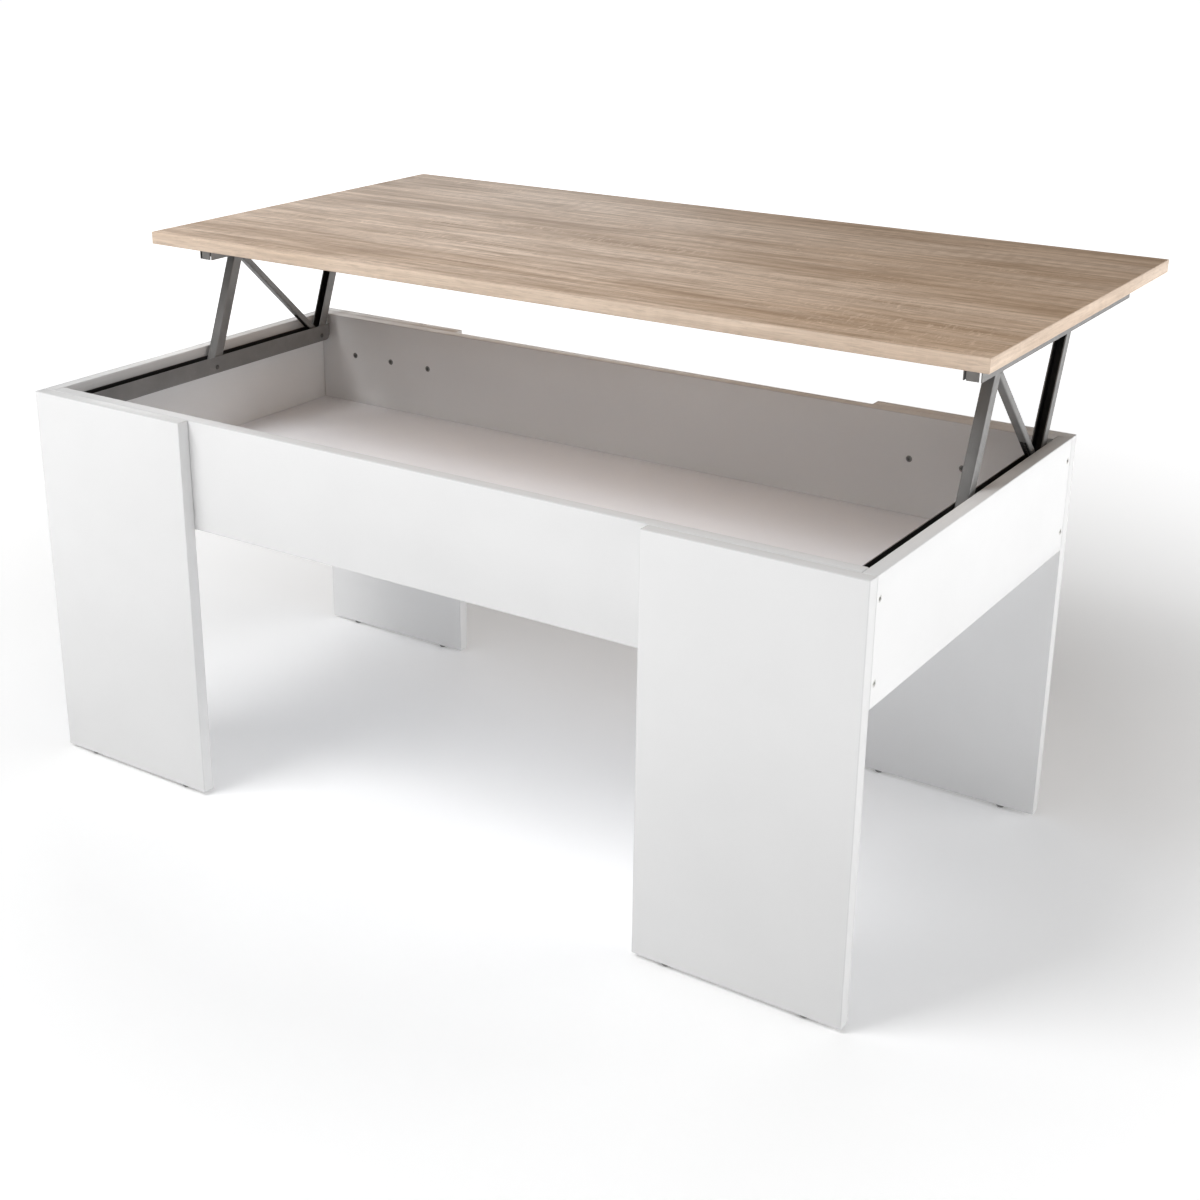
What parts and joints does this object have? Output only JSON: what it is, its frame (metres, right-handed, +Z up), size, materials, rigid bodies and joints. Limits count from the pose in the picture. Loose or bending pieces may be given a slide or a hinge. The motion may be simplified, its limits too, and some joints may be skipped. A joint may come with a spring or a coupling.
{
  "type": "lift top coffee table",
  "caption": "Coffee table whose wooden top lifts and moves on parallel arms over a storage box standing on wide panel legs.",
  "frame": {"origin": "on the floor, under the middle of the outer box of the table with its top lifted", "axes": "+X along the table's length, +Y towards its rear, where the top lifts from its front, +Z up"},
  "size_m": [1, 0.6956, 0.5665],
  "materials": {
    "oak_top": "oak decor on board, matt",
    "white_panel": "white melamine on particle board, satin",
    "grey_channel": "grey, satin",
    "dark_steel": "dark zinc",
    "zinc_screw": "bright zinc",
    "glide": "moulded"
  },
  "bodies": {
    "base": {"side_panel_left": "white_panel", "side_panel_right": "white_panel", "apron_front": "white_panel", "apron_rear": "white_panel", "floor_panel": "white_panel", "leg_front_left": "white_panel", "leg_front_right": "white_panel", "leg_rear_left": "white_panel", "leg_rear_right": "white_panel", "glide_front_left_1": "glide", "glide_front_left_2": "glide", "glide_front_right_1": "glide", "glide_front_right_2": "glide", "glide_rear_left_1": "glide", "glide_rear_left_2": "glide", "glide_rear_right_1": "glide", "glide_rear_right_2": "glide", "side_screw_front_left_upper": "zinc_screw", "side_screw_front_left_lower": "zinc_screw", "side_screw_front_right_upper": "zinc_screw", "side_screw_front_right_lower": "zinc_screw", "side_screw_rear_left_upper": "zinc_screw", "side_screw_rear_left_lower": "zinc_screw", "side_screw_rear_right_upper": "zinc_screw", "side_screw_rear_right_lower": "zinc_screw", "leg_screw_rear_left_1": "zinc_screw", "leg_screw_rear_left_2": "zinc_screw", "leg_screw_rear_left_3": "zinc_screw", "leg_screw_rear_right_1": "zinc_screw", "leg_screw_rear_right_2": "zinc_screw", "leg_screw_rear_right_3": "zinc_screw", "lower_rail_left": "grey_channel", "lower_rail_right": "grey_channel", "front_foot_pin_left": "dark_steel", "front_foot_pin_right": "dark_steel", "rear_foot_pin_left": "dark_steel", "rear_foot_pin_right": "dark_steel"},
    "front_arm_left": {"front_arm_left": "grey_channel", "stay_pin_left": "dark_steel"},
    "rear_arm_left": {"rear_arm_left": "grey_channel"},
    "stay_left": {"stay_channel_left": "grey_channel", "stay_spring_left": "dark_steel"},
    "stay_rod_left": {"stay_rod_left": "dark_steel"},
    "front_arm_right": {"front_arm_right": "grey_channel", "stay_pin_right": "dark_steel"},
    "rear_arm_right": {"rear_arm_right": "grey_channel"},
    "stay_right": {"stay_channel_right": "grey_channel", "stay_spring_right": "dark_steel"},
    "stay_rod_right": {"stay_rod_right": "dark_steel"},
    "tabletop": {"table_top": "oak_top", "upper_rail_left": "grey_channel", "upper_rail_right": "grey_channel", "front_head_pin_left": "dark_steel", "front_head_pin_right": "dark_steel", "rear_head_pin_left": "dark_steel", "rear_head_pin_right": "dark_steel"}
  },
  "joints": [
    {"name": "front_arm_left_pivot", "type": "hinge", "parent": "base", "child": "front_arm_left", "pos_m": [-0.4662, -0.10282, 0.40305], "axis": [1, 0, 0], "range_deg": [0, 105]},
    {"name": "rear_arm_left_pivot", "type": "hinge", "parent": "base", "child": "rear_arm_left", "pos_m": [-0.4662, 0.08318, 0.40305], "axis": [1, 0, 0], "range_deg": [0, 105]},
    {"name": "stay_left_pivot", "type": "hinge", "parent": "base", "child": "stay_left", "pos_m": [-0.4662, 0.08318, 0.40305], "axis": [1, 0, 0], "range_deg": [0, 41.42]},
    {"name": "stay_rod_left_slide", "type": "slide", "parent": "stay_left", "child": "stay_rod_left", "axis": [0, -0.7206, 0.6934], "range_m": [0, 0.1373], "deforming": ["stay_spring_left"]},
    {"name": "front_arm_right_pivot", "type": "hinge", "parent": "base", "child": "front_arm_right", "pos_m": [0.4662, -0.10282, 0.40305], "axis": [1, 0, 0], "range_deg": [0, 105]},
    {"name": "rear_arm_right_pivot", "type": "hinge", "parent": "base", "child": "rear_arm_right", "pos_m": [0.4662, 0.08318, 0.40305], "axis": [1, 0, 0], "range_deg": [0, 105]},
    {"name": "stay_right_pivot", "type": "hinge", "parent": "base", "child": "stay_right", "pos_m": [0.4662, 0.08318, 0.40305], "axis": [1, 0, 0], "range_deg": [0, 41.42]},
    {"name": "stay_rod_right_slide", "type": "slide", "parent": "stay_right", "child": "stay_rod_right", "axis": [0, -0.7206, 0.6934], "range_m": [0, 0.1373], "deforming": ["stay_spring_right"]},
    {"name": "tabletop_pivot", "type": "hinge", "parent": "front_arm_left", "child": "tabletop", "pos_m": [-0.4662, -0.04835, 0.54495], "axis": [1, 0, 0], "range_deg": [-105, 0]}
  ],
  "couplings": [
    {"joint": "rear_arm_left_pivot", "follows": "front_arm_left_pivot", "ratio": 1},
    {"joint": "stay_left_pivot", "follows": "front_arm_left_pivot", "ratio": 0.39354},
    {"joint": "stay_rod_left_slide", "follows": "front_arm_left_pivot", "m_per_rad": 0.074791},
    {"joint": "front_arm_right_pivot", "follows": "front_arm_left_pivot", "ratio": 1},
    {"joint": "rear_arm_right_pivot", "follows": "front_arm_left_pivot", "ratio": 1},
    {"joint": "stay_right_pivot", "follows": "front_arm_left_pivot", "ratio": 0.39354},
    {"joint": "stay_rod_right_slide", "follows": "front_arm_left_pivot", "m_per_rad": 0.074791},
    {"joint": "tabletop_pivot", "follows": "front_arm_left_pivot", "ratio": -1}
  ]
}
